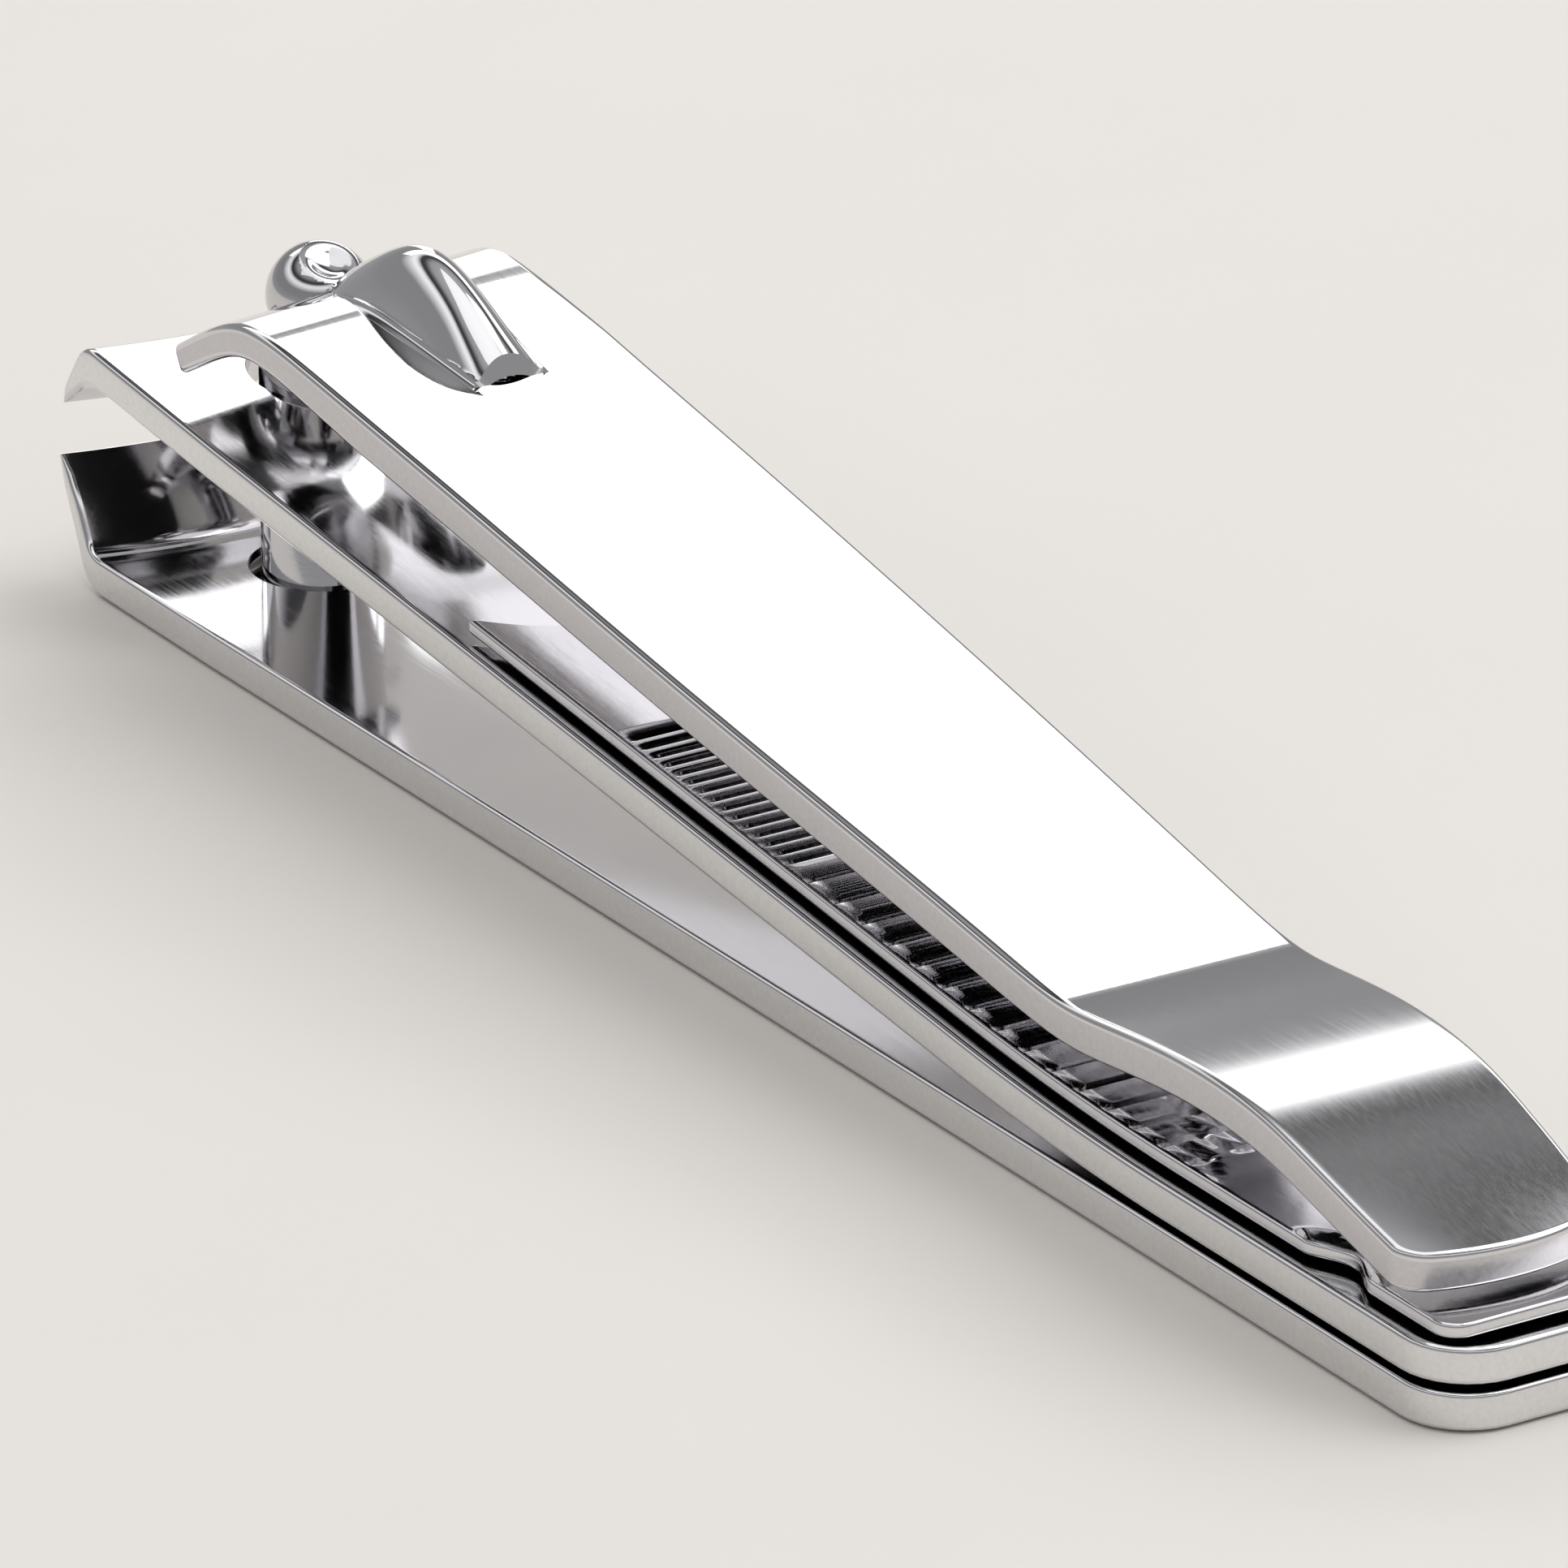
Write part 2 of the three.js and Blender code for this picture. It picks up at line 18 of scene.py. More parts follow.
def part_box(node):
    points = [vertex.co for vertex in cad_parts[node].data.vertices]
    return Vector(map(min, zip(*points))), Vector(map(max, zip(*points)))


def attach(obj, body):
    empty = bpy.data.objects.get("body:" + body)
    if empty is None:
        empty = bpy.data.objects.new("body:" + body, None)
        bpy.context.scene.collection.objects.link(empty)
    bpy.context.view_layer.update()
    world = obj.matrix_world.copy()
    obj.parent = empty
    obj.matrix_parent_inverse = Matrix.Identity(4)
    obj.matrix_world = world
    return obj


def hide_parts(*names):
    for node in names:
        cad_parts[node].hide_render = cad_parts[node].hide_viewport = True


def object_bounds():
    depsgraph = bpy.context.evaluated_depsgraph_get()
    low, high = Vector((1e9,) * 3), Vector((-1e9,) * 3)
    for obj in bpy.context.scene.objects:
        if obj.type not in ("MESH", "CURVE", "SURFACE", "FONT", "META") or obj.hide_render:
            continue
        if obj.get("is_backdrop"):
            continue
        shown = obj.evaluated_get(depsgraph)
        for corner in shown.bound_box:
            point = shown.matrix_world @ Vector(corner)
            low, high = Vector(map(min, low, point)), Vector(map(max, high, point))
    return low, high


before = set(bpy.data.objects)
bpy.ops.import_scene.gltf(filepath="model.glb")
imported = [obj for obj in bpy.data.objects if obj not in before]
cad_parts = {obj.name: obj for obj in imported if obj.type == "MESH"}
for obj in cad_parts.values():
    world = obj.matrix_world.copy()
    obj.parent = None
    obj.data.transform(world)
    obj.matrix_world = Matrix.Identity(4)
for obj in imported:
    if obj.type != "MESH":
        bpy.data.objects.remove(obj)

CAD_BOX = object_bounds()
print("frame nodes:", sorted(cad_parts))

# %% [markdown]
# ## Working in the clipper's own millimetres
# A toolmaker lays the clipper out from its cutting edges, in millimetres: X to the rear, Y across,
# Z up from the flat underside. The frame is in metres with its origin in the middle. One function
# moves a point from the layout to the frame, and it takes the offset from the lower leaf's box, so
# every piece lands where the frame has it.

# %% Layout and placing
MM = 0.001
REAR_END = 80.8
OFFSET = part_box("lower_leaf")[1].x / MM - REAR_END
PIN_X = 6.67
LEVER_YAW = math.radians(-1.3)


def placed(x, y, z):
    return Vector(((x + OFFSET) * MM, y * MM, z * MM))


def beside_pin(x, y, z):
    """The lever rests a little off the centre line, turned about the pin."""
    dx = x - PIN_X
    c, s = math.cos(LEVER_YAW), math.sin(LEVER_YAW)
    return (PIN_X + c * dx - s * y, s * dx + c * y, z)


print("layout offset in mm:", round(OFFSET, 3))

# %% [markdown]
# ## The camera
# Small goods are photographed from well back with a long lens, which keeps parallel edges almost
# parallel. The camera stands 0.6 m away, to the right of the jaws and 23 degrees up. Writing its
# three axes as a matrix sets the small roll exactly, which a track-to constraint can't do.

# %% Camera
AZIMUTH, ELEVATION, ROLL = (math.radians(v) for v in (57.847, 23.244, -0.112))
back = Vector((
    math.sin(AZIMUTH) * math.cos(ELEVATION),
    -math.cos(AZIMUTH) * math.cos(ELEVATION),
    math.sin(ELEVATION),
))
level = Vector((math.cos(AZIMUTH), math.sin(AZIMUTH), 0))
upright = back.cross(level)
right = level * math.cos(ROLL) + upright * math.sin(ROLL)
up = upright * math.cos(ROLL) - level * math.sin(ROLL)

CAMERA_AT = (0.437866, -0.278525, 0.228438)
SENSOR = 36
camera_data = bpy.data.cameras.new("product_camera")
camera_data.sensor_width = SENSOR
camera_data.lens = SENSOR * 22086.8 / 1932
camera_data.clip_start, camera_data.clip_end = 0.05, 20
camera = bpy.data.objects.new("product_camera", camera_data)
bpy.context.scene.collection.objects.link(camera)
camera.matrix_world = Matrix.Translation(CAMERA_AT) @ Matrix((right, up, back)).transposed().to_4x4()
bpy.context.scene.camera = camera
print("lens in mm:", round(camera_data.lens, 1))

# %% [markdown]
# ## Helpers for materials
# Colours are picked as sRGB hex values, which is how a screen shows them, and shaders work in
# linear light, so one function converts. Node trees are short here, so one more function that
# adds a node, sets it and links it is all the wiring that the materials need.

# %% Colour and node helpers
def linear(hex_code):
    parts = [int(hex_code[i:i + 2], 16) / 255 for i in (1, 3, 5)]
    return tuple(c / 12.92 if c <= 0.04045 else ((c + 0.055) / 1.055) ** 2.4 for c in parts) + (1.0,)


def add_node(tree, kind, links=(), **settings):
    """Adds a node. A setting is a property or an input; links are (input, output socket)."""
    node = tree.nodes.new(kind)
    for key, value in settings.items():
        if hasattr(node, key):
            setattr(node, key, value)
        else:
            node.inputs[key.replace("_", " ")].default_value = value
    for name, socket in links:
        tree.links.new(node.inputs[name], socket)
    return node


def new_material(name):
    material = bpy.data.materials.new(name)
    material.use_nodes = True
    tree = material.node_tree
    tree.nodes.clear()
    output = tree.nodes.new("ShaderNodeOutputMaterial")
    shader = tree.nodes.new("ShaderNodeBsdfPrincipled")
    tree.links.new(output.inputs["Surface"], shader.outputs["BSDF"])
    return material, tree, shader


print("white paper is", [round(c, 3) for c in linear("#e9e5df")])

# %% [markdown]
# ## Polished stainless steel
# The leaves and the lever are blanked from stainless strip, deburred in a tumbling barrel and
# buffed. Steel has no colour of its own: it mirrors the room at about 70 %, slightly warm. Buffing
# leaves hairlines a few hundredths of a millimetre wide along the strip and a faint waviness, and
# those, not a flat roughness, make it read as metal. The hairlines are drawn here about 0.1 mm
# wide, as fine as the render can show. A thumb has dulled the lever's tail a little, so its
# reflections there are soft, while the arm in front of it stays sharp.

# %% Polished sheet
BUMP_STRENGTH = 0.25


def polished_steel(name, colour, polish, stretch, wave, depth, worn=None):
    """Buffed steel: hairlines along X in the roughness, a slow waviness in the bump.

    worn = (from x, to x, roughness) adds a patch that use has dulled."""
    material, tree, shader = new_material(name)
    place = add_node(tree, "ShaderNodeTexCoord")
    along = add_node(tree, "ShaderNodeMapping", [("Vector", place.outputs["Object"])], Scale=stretch)
    hairs = add_node(tree, "ShaderNodeTexNoise", [("Vector", along.outputs["Vector"])],
                     Scale=1.0, Detail=4.0, Roughness=0.6)
    rough = add_node(tree, "ShaderNodeMapRange", [("Value", hairs.outputs["Fac"])],
                     From_Min=0.35, From_Max=0.75, To_Min=polish[0], To_Max=polish[1])
    polish_socket = rough.outputs["Result"]
    if worn:
        where = add_node(tree, "ShaderNodeSeparateXYZ", [("Vector", place.outputs["Object"])])
        dulled = add_node(tree, "ShaderNodeMapRange", [("Value", where.outputs["X"])],
                          interpolation_type="SMOOTHSTEP",
                          From_Min=worn[0], From_Max=worn[1], To_Min=0.0, To_Max=worn[2])
        both = add_node(tree, "ShaderNodeMath", [(0, polish_socket), (1, dulled.outputs["Result"])],
                        operation="ADD")
        polish_socket = both.outputs["Value"]
    tree.links.new(shader.inputs["Roughness"], polish_socket)
    slow = add_node(tree, "ShaderNodeTexNoise", [("Vector", place.outputs["Object"])],
                    Scale=wave, Detail=1.0, Roughness=0.4)
    ripple = add_node(tree, "ShaderNodeBump", [("Height", slow.outputs["Fac"])],
                      Strength=BUMP_STRENGTH, Distance=depth)
    tree.links.new(shader.inputs["Normal"], ripple.outputs["Normal"])
    tone = add_node(tree, "ShaderNodeMixRGB", [("Fac", slow.outputs["Fac"])],
                    Color1=linear(colour[0]), Color2=linear(colour[1]))
    tree.links.new(shader.inputs["Base Color"], tone.outputs["Color"])
    shader.inputs["Metallic"].default_value = 1.0
    return material


HAIRLINES = (250.0, 9000.0, 9000.0)       # 4 mm long and about 0.1 mm wide
THUMB_REST = (0.0195, 0.0235, 0.11)       # dulled behind this X, in metres
buffed_sheet = polished_steel("buffed_stainless_sheet", ("#dcdbdc", "#d2d1d3"), (0.07, 0.13),
                              HAIRLINES, 130.0, 0.00003)
buffed_lever = polished_steel("buffed_stainless_lever", ("#dfdedf", "#d8d7d8"), (0.03, 0.07),
                              HAIRLINES, 90.0, 0.00003, THUMB_REST)
print("sheet finishes:", buffed_sheet.name, buffed_lever.name)

# %% [markdown]
# ## Sheared edges, tumbled to satin
# The press shears the sheet, and tumbling then rubs the sheared wall to an even satin. It scatters
# the light, so the edge shows one calm grey with a fine sandy grain beside the mirror faces, and
# that grey band is what draws the clipper's outline.

# %% Satin edge
SANDY = 5500.0                            # grains of about 0.2 mm


def satin_edge(name, colour, low, high):
    material, tree, shader = new_material(name)
    place = add_node(tree, "ShaderNodeTexCoord")
    grain = add_node(tree, "ShaderNodeTexNoise", [("Vector", place.outputs["Object"])],
                     Scale=SANDY, Detail=3.0, Roughness=0.65)
    rough = add_node(tree, "ShaderNodeMapRange", [("Value", grain.outputs["Fac"])],
                     From_Min=0.3, From_Max=0.7, To_Min=low, To_Max=high)
    tree.links.new(shader.inputs["Roughness"], rough.outputs["Result"])
    tone = add_node(tree, "ShaderNodeMixRGB", [("Fac", grain.outputs["Fac"])],
                    Color1=linear(colour[0]), Color2=linear(colour[1]))
    tree.links.new(shader.inputs["Base Color"], tone.outputs["Color"])
    pits = add_node(tree, "ShaderNodeBump", [("Height", grain.outputs["Fac"])],
                    Strength=BUMP_STRENGTH, Distance=0.00002)
    tree.links.new(shader.inputs["Normal"], pits.outputs["Normal"])
    shader.inputs["Metallic"].default_value = 1.0
    return material


tumbled_leaf_edge = satin_edge("tumbled_leaf_edge", ("#d9d8d8", "#f2f1f0"), 0.3, 0.42)
tumbled_lever_edge = satin_edge("tumbled_lever_edge", ("#c2c0c2", "#dddbdd"), 0.3, 0.42)
print("edge finishes:", tumbled_leaf_edge.name, tumbled_lever_edge.name)

# %% [markdown]
# ## Turned steel
# The pin and the rivets come off a lathe, and the tool leaves rings round them. Noise that is
# squeezed along the axis, Z here, and wide across it gives such rings without a wave pattern that
# would look too regular. The file is struck after polishing, so it keeps the mirror between cuts.

# %% Turned parts and file
LATHE_RINGS = (300.0, 300.0, 12000.0)     # rings of about 0.1 mm round the Z axis
FILE_LINES = (300.0, 6000.0, 6000.0)
turned_pin = polished_steel("turned_stainless_pin", ("#d2d1d3", "#c6c5c8"), (0.04, 0.1),
                            LATHE_RINGS, 200.0, 0.00001)
file_face = polished_steel("struck_file_steel", ("#d6d5d7", "#c9c8cb"), (0.05, 0.12),
                           FILE_LINES, 150.0, 0.00002)
file_edge = satin_edge("ground_file_edge", ("#d0cfd1", "#e6e5e6"), 0.14, 0.24)
print("turned and struck finishes:", turned_pin.name, file_face.name)

# %% [markdown]
# ## How a stamped sheet is built
# Every flat part here is the same thing: an outline in plan, bent along a side view, with rounded
# edges. A box with a bevel would do for straight parts, but the bevel breaks up where the outline
# turns and the sheet bends. So the mesh is laid as a grid instead. Each station along the part is
# a row across it, and the rim is a strip that follows the outline and carries the rounding, so the
# reflections run cleanly round the corners.

# %% Outlines in plan
def outline(front, rear, half, front_corner, rear_corner, stations):
    """One long edge, front to rear: rows of (along, half width, outward normal)."""
    rows = []
    turn = [(math.cos(t), math.sin(t)) for t in np.radians(np.linspace(0, 90, 9))]
    if front_corner:
        wide = half(front + front_corner) - front_corner
        rows += [(front + front_corner * (1 - c), wide + front_corner * s, -c, s) for c, s in turn]
    else:
        rows.append((front, half(front), 0.0, 1.0))
    for u in stations:
        if rows[-1][0] + 0.02 < u < rear - rear_corner - 0.02:
            slope = (half(u + 0.05) - half(u - 0.05)) / 0.1
            size = math.hypot(1, slope)
            rows.append((u, half(u), -slope / size, 1 / size))
    wide = half(rear - rear_corner) - rear_corner
    rows += [(rear - rear_corner * (1 - c), wide + rear_corner * s, c, s) for c, s in turn[::-1]]
    return rows


TAPER_START, JAW_HALF, REAR_HALF = 10, 6.26, 5.47


def leaf_half(u):
    return float(np.interp(u, [TAPER_START, REAR_END], [JAW_HALF, REAR_HALF]))


print("leaf half width in the middle:", round(leaf_half(40), 2))

# %% The sheet builder
ARC = [(1 - math.cos(a), 1 - math.sin(a)) for a in np.radians(np.linspace(90, 0, 6))]


def sheet_grid(bend, near, far, rounding, across, relief=None, open_front=False):
    """Points, faces and a 1 for each satin edge face, for a sheet bent along a side view.

    bend(u) gives the top and underside points of the side view. near and far are outlines."""
    points, faces, satin = [], [], []
    middle = np.concatenate([[0.0], np.linspace(0, 1, across)[1:-1], [1.0]])

    def put(u, y, height):
        """height runs from +1 at the top face to -1 at the underside, or is (from side, mm)."""
        top, under = bend(u)
        centre, half = (top + under) / 2, (top - under) / 2
        thick = np.linalg.norm(half)
        side, drop = height
        lowered = relief(u, y) if relief and side > 0 and drop == 0 else 0.0
        spot = centre + half / thick * (side * (thick - drop) - lowered)
        points.append((spot[0], y, spot[1]))
        return len(points) - 1

    def rim(row, sign):
        u, wide, nu, ny = row
        top, under = bend(u)
        r = min(rounding, 0.42 * np.linalg.norm(top - under))
        column = [(u - nu * r * d, sign * (wide - ny * r * d), (1, r * h)) for d, h in ARC]
        column += [(u - nu * r * d, sign * (wide - ny * r * d), (-1, r * h)) for d, h in ARC[::-1]]
        return column

    def quad(a, b, c, d, mark):
        if len({a, b, c, d}) >= 3:
            faces.append([v for i, v in enumerate((a, b, c, d)) if v not in (a, b, c, d)[:i]])
            satin.append(mark)

    count = len(near)
    ends = {0, count - 1} if not open_front else {count - 1}
    near_rims = [rim(row, -1) for row in near]
    far_rims = [rim(row, 1) for row in far]
    near_ids = [[put(*p) for p in column] for column in near_rims]
    far_ids = [[put(*p) for p in column] for column in far_rims]
    levels = len(near_rims[0])

    def between(i, level):
        a, b = near_rims[i][level], far_rims[i][level]
        inner = [near_ids[i][level]]
        gap = 0.07 / max(abs(b[1] - a[1]), 0.2)
        for f in [gap, *middle[1:-1], 1 - gap]:
            inner.append(put(a[0] + (b[0] - a[0]) * f, a[1] + (b[1] - a[1]) * f, a[2]))
        return inner + [far_ids[i][level]]

    tops = [between(i, 0) for i in range(count)]
    unders = [between(i, levels - 1) for i in range(count)]
    edge_level = len(ARC) - 1
    for i in range(count - 1):
        for k in range(len(tops[0]) - 1):
            quad(tops[i][k], tops[i + 1][k], tops[i + 1][k + 1], tops[i][k + 1], 0)
            quad(unders[i][k], unders[i + 1][k], unders[i + 1][k + 1], unders[i][k + 1], 0)
        for level in range(levels - 1):
            for ids in (near_ids, far_ids):
                quad(ids[i][level], ids[i + 1][level], ids[i + 1][level + 1], ids[i][level + 1],
                     int(level == edge_level))
    for i in ends:
        rows = [tops[i]] + [between(i, level) for level in range(1, levels - 1)] + [unders[i]]
        for level in range(levels - 1):
            for k in range(len(rows[0]) - 1):
                quad(rows[level][k], rows[level + 1][k], rows[level + 1][k + 1], rows[level][k + 1],
                     int(level == edge_level))
    if open_front:
        for k in range(len(tops[0]) - 1):
            quad(tops[0][k], unders[0][k], unders[0][k + 1], tops[0][k + 1], 0)
        for ids in (near_ids[0], far_ids[0]):
            faces.append(list(ids))
            satin.append(0)
    return points, faces, satin


def make_piece(name, points, faces, materials, marks=None):
    """A smooth-shaded mesh object from layout points."""
    mesh = bpy.data.meshes.new(name)
    mesh.from_pydata([placed(*p) for p in points], [], faces)
    for material in materials:
        mesh.materials.append(material)
    if marks is not None:
        mesh.polygons.foreach_set("material_index", marks)
    work = bmesh.new()
    work.from_mesh(mesh)
    bmesh.ops.remove_doubles(work, verts=work.verts, dist=1e-7)
    bmesh.ops.recalc_face_normals(work, faces=work.faces)
    work.to_mesh(mesh)
    work.free()
    piece = bpy.data.objects.new(name, mesh)
    bpy.context.scene.collection.objects.link(piece)
    return piece


def shade(piece, degrees=31):
    """Smooth everywhere but at real corners."""
    piece.data.polygons.foreach_set("use_smooth", [True] * len(piece.data.polygons))
    piece.data.set_sharp_from_angle(angle=math.radians(degrees))
    piece.data.update()
    size = [round(v / MM, 2) for v in piece.dimensions]
    print(piece.name, "faces", len(piece.data.polygons), "size mm", size)


def cut(piece, cutters):
    """Takes the cutters out of the piece, as a punch or a drill would, and removes them."""
    for cutter in cutters:
        step = piece.modifiers.new("punch", "BOOLEAN")
        step.operation, step.solver, step.object = "DIFFERENCE", "EXACT", cutter
    bpy.context.view_layer.update()
    cut_mesh = bpy.data.meshes.new_from_object(piece.evaluated_get(bpy.context.evaluated_depsgraph_get()))
    piece.modifiers.clear()
    piece.data = cut_mesh
    for cutter in cutters:
        bpy.data.objects.remove(cutter)


print("rim arc points:", len(ARC))

# %% [markdown]
# ## Turned shapes and punches
# Pins, rivets and drilled holes are bodies of revolution. The Screw modifier could spin a profile,
# but a short loop that lays rings gives the same quads and can also tilt them, which the facing
# tool for the pin's knob needs.

# %% Turning
def turned_points(x, profile, sides=96, tilt=0.0, pivot=0.0):
    """Rings of the profile [(radius, z)] about a vertical axis, tipped to the rear by tilt."""
    points, faces = [], []
    lean, drop = math.cos(tilt), math.sin(tilt)
    for radius, z in profile:
        for s in range(sides):
            a = 2 * math.pi * s / sides
            px = radius * math.cos(a)
            points.append((x + px * lean + z * drop, radius * math.sin(a), pivot + z * lean - px * drop))
    for ring in range(len(profile) - 1):
        for s in range(sides):
            t = (s + 1) % sides
            faces.append([ring * sides + s, ring * sides + t, (ring + 1) * sides + t, (ring + 1) * sides + s])
    faces.append([s for s in range(sides)])
    faces.append([(len(profile) - 1) * sides + s for s in range(sides)])
    return points, faces


def drill(x, bottom, top, z0, z1, material):
    points, faces = turned_points(x, [(bottom, z0), (top, z1)])
    return make_piece("drill", points, faces, [material])


print("turning ready")

# %% [markdown]
# ## Side views
# A side view is a list of matching points on the top and the underside of the sheet. Between them
# the sheet is interpolated, and the soft bends are short Bezier curves, which is also how a press
# brake bends spring strip: straight, one bend, straight.

# %% Side view helpers
def bezier(p0, p1, p2, steps):
    t = np.linspace(0, 1, steps + 1)[:, None]
    return (1 - t) ** 2 * np.array(p0) + 2 * t * (1 - t) * np.array(p1) + t ** 2 * np.array(p2)


def side_view(rows):
    """rows of (u, top x, top z, under x, under z), returned as bend(u)."""
    table = np.array(rows, float)

    def bend(u):
        values = [np.interp(u, table[:, 0], table[:, c]) for c in range(1, 5)]
        return np.array(values[:2]), np.array(values[2:])
    return bend


LEAF, UPPER_FLAT, REAR_CORNER = 1.25, 2.75, 2.4
BEND_FROM, BEND_MIDDLE, BEND_TO = 54.05, 60.05, 66.05
SPRING_SLOPE = 0.1025
EDGE_BOW, BOW_REACH, BOW_FULL = 0.9, 5, 2
TIE_X, PIVOT_X = 67, 75.5
PIN_HOLE, PIN_SINK = 2.5, 3.75
RIVET_HOLE, RIVET_SINK = 1.5, 2.75
SINK_DEPTH, SINK_LEAD = 0.95, 0.3


def spring_top(x):
    return 8.7 - SPRING_SLOPE * (x - 2.0)


def bow(points):
    """The cutting edges are ground hollow, so the middle of each jaw lies back."""
    moved = []
    for x, y, z in points:
        fade = min(max((BOW_REACH - x) / (BOW_REACH - BOW_FULL), 0), 1)
        moved.append((x + EDGE_BOW * (1 - (y / JAW_HALF) ** 2) * fade, y, z))
    return moved


print("upper leaf at the jaw:", spring_top(2.0), "mm high")

# %% [markdown]
# ## The lower leaf
# The lower leaf is flat, with its front end turned up and ground to a cutting edge. Its inside
# crease is quite sharp, because a coining die sets it, and the outside is round. The pin hole and
# the two rivet holes are countersunk from below so that nothing stands proud of the flat face.

# %% Lower leaf
inner = bezier((1.8, 1.75), (2.02, LEAF), (2.7, LEAF), 8)
outer = bezier((1.4, 1.1), (1.7, 0.03), (2.8, 0), 8)
lower_rows = [(0.0, 0.27, 4.29, 0.2, 4.29), (0.45, 0.78, 3.55, 0.3, 3.4),
              (0.9, 1.25, 2.85, 0.67, 2.62), (1.7, 1.8, 1.75, 1.4, 1.1)]
lower_rows += [(1.7 + 1.1 * i / 8, *inner[i], *outer[i]) for i in range(1, 9)]
lower_rows += [(REAR_END, REAR_END, LEAF, REAR_END, 0)]
lower_bend = side_view(lower_rows)
jaw_stations = [*np.linspace(0.1, 1.6, 7), *np.linspace(1.7, 2.8, 9), 3.4, 4.2, 5.0, 6, 8]
straight = list(np.arange(10, 79, 3.0))
edge = outline(0, REAR_END, leaf_half, 0, REAR_CORNER, jaw_stations + straight)
points, faces, marks = sheet_grid(lower_bend, edge, edge, 0.16, 26, open_front=True)
lower_leaf = make_piece("lower_leaf_sheet", bow(points), faces, [buffed_sheet, tumbled_leaf_edge], marks)
cut(lower_leaf, [
    tool for x, hole, sink in ((PIN_X, PIN_HOLE, PIN_SINK), (TIE_X, RIVET_HOLE, RIVET_SINK),
                               (PIVOT_X, RIVET_HOLE, RIVET_SINK))
    for tool in (drill(x, hole, hole, -1, 3, buffed_sheet),
                 drill(x, sink, hole, -SINK_LEAD, SINK_DEPTH, buffed_sheet))
])
shade(lower_leaf)
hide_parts("lower_leaf")
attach(lower_leaf, "root")

# %% [markdown]
# ## The upper leaf
# The upper leaf is the spring: it climbs from the riveted rear to the jaw, where it is bent down
# over a small radius and ground. The long slope has to stay dead straight, or the reflection in it
# would wander, so it has few stations and the bends have many.

# %% Upper leaf
lip_top = bezier((1.5, 8.3), (1.85, 8.74), (2.6, spring_top(2.6)), 6)
lip_under = bezier((1.6, 7.1), (2.1, 7.45), (3.1, spring_top(3.1) - LEAF), 6)
upper_rows = [(0.5, 0.5, 6.25, 0.6, 6.25), (0.8, 0.5, 6.85, 0.92, 6.52), (1.15, 1.0, 7.58, 1.26, 6.81)]
upper_rows += [(1.5 + 1.6 * i / 6, *lip_top[i], *lip_under[i]) for i in range(7)]
upper_rows += [(3.6, 3.6, spring_top(3.6), 3.6, spring_top(3.6) - LEAF)]
soft = bezier((BEND_FROM, spring_top(BEND_FROM)), (BEND_MIDDLE, UPPER_FLAT), (BEND_TO, UPPER_FLAT), 24)
upper_rows += [(x, x, z, x, z - LEAF) for x, z in soft]
upper_rows += [(REAR_END, REAR_END, UPPER_FLAT, REAR_END, UPPER_FLAT - LEAF)]
stations = [*np.linspace(0.6, 3.1, 16), 3.6, 4.2, 5.0, 6, 8, *np.arange(10, 54, 4.0)]
stations += [*np.linspace(BEND_FROM, BEND_TO, 25), 70, 74, 77]
edge = outline(0.5, REAR_END, leaf_half, 0, REAR_CORNER, stations)
points, faces, marks = sheet_grid(side_view(upper_rows), edge, edge, 0.2, 26, open_front=True)
upper_leaf = make_piece("upper_leaf_sheet", bow(points), faces, [buffed_sheet, tumbled_leaf_edge], marks)
cut(upper_leaf, [
    drill(PIN_X, PIN_HOLE, PIN_HOLE, 4, 10, buffed_sheet),
    drill(TIE_X, RIVET_HOLE, RIVET_HOLE, 1, 4, buffed_sheet),
    drill(TIE_X, RIVET_HOLE, RIVET_SINK, UPPER_FLAT - SINK_DEPTH, UPPER_FLAT + SINK_LEAD, buffed_sheet),
    drill(PIVOT_X, RIVET_HOLE, RIVET_HOLE, 1, 4, buffed_sheet),
])
shade(upper_leaf)
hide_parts("upper_leaf")
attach(upper_leaf, "upper")

# %% [markdown]
# ## The pin
# The pin is turned from bar: a countersunk foot, a shank, a groove that the lever's nibs sit in,
# and a ball on top. The ball is faced off at 25 degrees and dished, so the lever can be swung over
# it. Small chamfers at each step catch a thin line of light, as real turned work does.

# %% Pin
KNOB, KNOB_Z, DISH_FLAT, DISH_TILT = 1.8, 10.8, math.sqrt(1.8 ** 2 - 1.0), 25
ball_angles = np.linspace(math.asin(-0.35 / KNOB), math.radians(88), 40)
ball = [(KNOB * math.cos(a), KNOB_Z + KNOB * math.sin(a)) for a in ball_angles]
pin_profile = [(0.4, 0.1), (2.9, 0.1), (2.95, 0.14), (2.95, 0.2), (2.08, 0.93), (2.05, 1.0),
               (2.05, 8.6), (2.0, 8.68), (1.88, 8.72), (1.3, 8.78), (1.2, 8.86), (1.2, 10.3),
               (1.26, 10.4), (1.5, 10.44), *ball, (0.02, KNOB_Z + KNOB)]
points, faces = turned_points(PIN_X, pin_profile, 128)
pin = make_piece("turned_pin", points, faces, [turned_pin])
dish = [(0.02, -0.22), (0.3, -0.19), (0.55, -0.1), (0.7, -0.02), (0.8, 0), (1.4, 0), (1.4, 1), (0.02, 1)]
dish = [(radius, DISH_FLAT + height) for radius, height in dish]
points, faces = turned_points(PIN_X, dish, tilt=math.radians(DISH_TILT), pivot=KNOB_Z)
cut(pin, [make_piece("facing_tool", points, faces, [turned_pin])])
shade(pin, 40)
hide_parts("pin")
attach(pin, "post")

# %% [markdown]
# ## The rivets
# Two rivets hold the rear together. The front one is flush on both faces and ties the leaves, and
# the rear one carries the file under a low round head. They are turned blanks that are headed in
# place, so they share the pin's finish.

